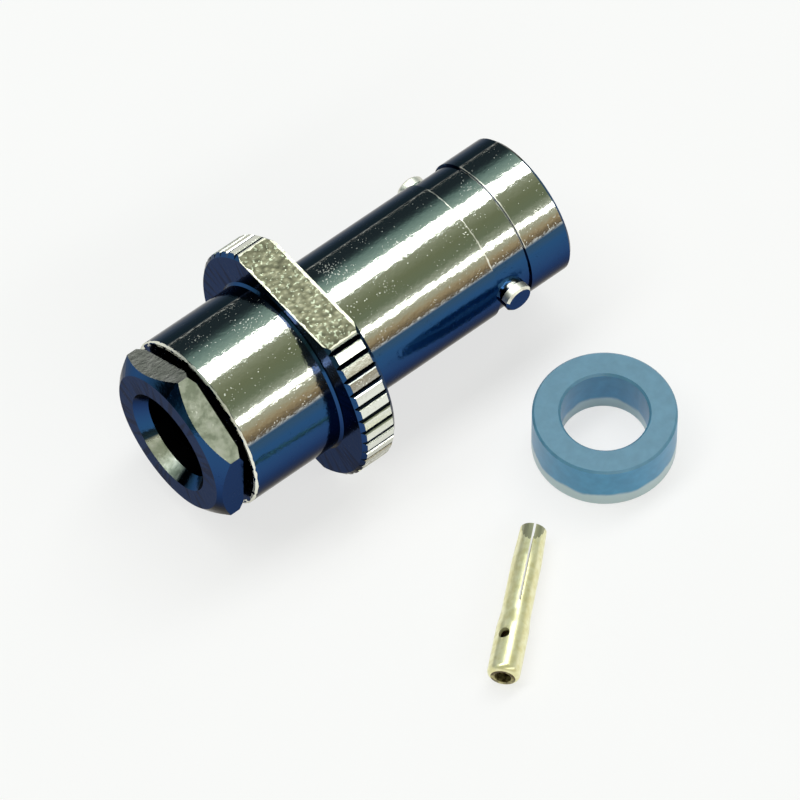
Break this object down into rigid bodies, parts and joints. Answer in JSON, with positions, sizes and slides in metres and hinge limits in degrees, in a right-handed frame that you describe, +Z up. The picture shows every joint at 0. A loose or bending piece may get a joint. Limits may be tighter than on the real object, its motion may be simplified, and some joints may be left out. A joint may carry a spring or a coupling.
{
  "type": "bnc cable jack",
  "caption": "Clamp-type bayonet coaxial cable jack with lugs, a knurled flange with wrench flats and a turning clamp nut; gasket and female contact lie beside it.",
  "frame": {"origin": "on the lower wrench flat of the flange, below the middle of the knurled rim, at the height of the bench", "axes": "+X along the jack's axis towards the mating mouth, +Z up, square to the wrench flats; the lugs point along -Y and +Y"},
  "size_m": [0.0284, 0.0322, 0.0135],
  "materials": {
    "nickel_plate": "bright nickel plate over brass",
    "insulator": "turned fluoropolymer",
    "silicone": "translucent silicone",
    "gold_plate": "thin gold plate over bronze"
  },
  "bodies": {
    "jack": {"jack_shell": "nickel_plate", "front_insulator": "insulator", "rear_insulator": "insulator", "braid_clamp": "nickel_plate", "v_gasket": "silicone", "socket_contact": "gold_plate"},
    "washer": {"flat_washer": "nickel_plate"},
    "nut": {"clamp_nut": "nickel_plate"}
  },
  "joints": [
    {"name": "washer_slide", "type": "slide", "parent": "jack", "child": "washer", "axis": [-1, 0, 0], "range_m": [-0.00036, 0.003]},
    {"name": "nut_turn", "type": "hinge", "parent": "washer", "child": "nut", "pos_m": [-0.0095, 0, 0.00675], "axis": [-1, 0, 0], "range_deg": [-164, 1361]}
  ],
  "couplings": [
    {"joint": "nut_turn", "follows": "washer_slide", "rad_per_m": 7915.8}
  ]
}
